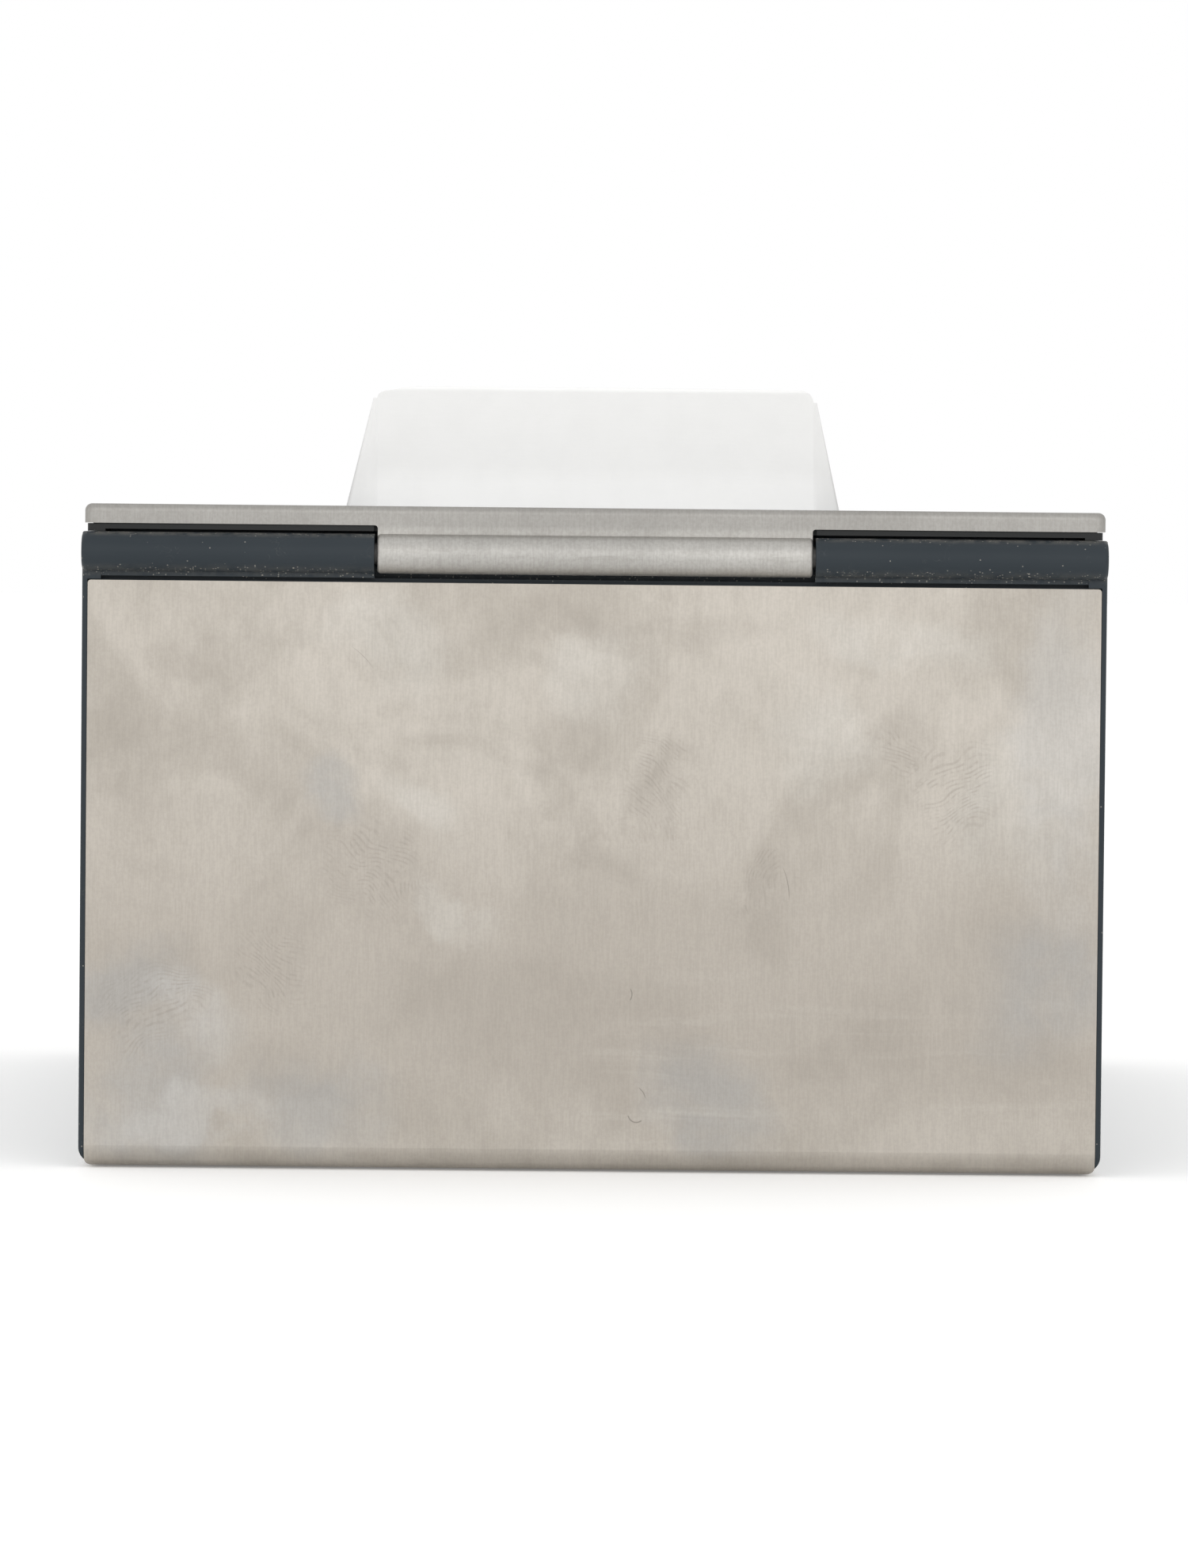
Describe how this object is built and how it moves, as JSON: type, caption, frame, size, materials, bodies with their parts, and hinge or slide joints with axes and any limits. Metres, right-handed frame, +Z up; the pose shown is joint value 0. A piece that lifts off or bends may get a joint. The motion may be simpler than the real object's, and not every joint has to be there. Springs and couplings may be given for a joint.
{
  "type": "napkin dispenser",
  "caption": "Compact top-pull napkin dispenser: dark moulded tub in a bent steel skin, with a hinged steel lid, a slot, and a sprung follower under the stack.",
  "frame": {"origin": "on the surface it stands on, under the middle of the case", "axes": "+Z up, -Y out of the hinge side, +Y out of the front with the pull lip, +X to the right when the hinge side is looked at"},
  "size_m": [0.1142, 0.18, 0.0892],
  "materials": {
    "skin_steel": "satin",
    "lid_steel": "satin",
    "tub_plastic": "matte",
    "liner_plastic": "matte",
    "throat_plastic": "satin",
    "follower_plastic": "matte",
    "glide_plastic": "satin",
    "screw_steel": "satin",
    "pin_steel": "polished",
    "spring_steel": "satin",
    "magnet": "polished",
    "rubber": "matte",
    "stack_paper": "matte",
    "tail_paper": "matte"
  },
  "bodies": {
    "base": {"body_tub": "tub_plastic", "body_skin": "skin_steel", "skin_screws": "screw_steel", "foot_pads": "rubber", "hinge_pin": "pin_steel", "hinge_pin_plugs": "tub_plastic", "lift_spring_rear": "spring_steel", "lift_spring_front": "spring_steel", "spring_clips": "screw_steel", "spring_clip_screws": "screw_steel", "lid_buffers": "rubber", "catch_magnets": "magnet"},
    "lid": {"lid_skin": "lid_steel", "lid_liner": "liner_plastic", "throat_ring": "throat_plastic", "catch_plates": "screw_steel"},
    "follower": {"follower_plate": "follower_plastic", "follower_glides": "glide_plastic", "napkin_stack": "stack_paper", "napkin_tail": "tail_paper"}
  },
  "joints": [
    {"name": "lid_hinge", "type": "hinge", "parent": "base", "child": "lid", "pos_m": [0, -0.0878, 0.06885], "axis": [1, 0, 0], "range_deg": [0, 165]},
    {"name": "follower_slide", "type": "slide", "parent": "base", "child": "follower", "axis": [0, 0, 1], "range_m": [-0.022, 0], "stiffness_N_per_m": 400, "springref_m": 0.03, "deforming": ["lift_spring_rear", "lift_spring_front"]}
  ]
}
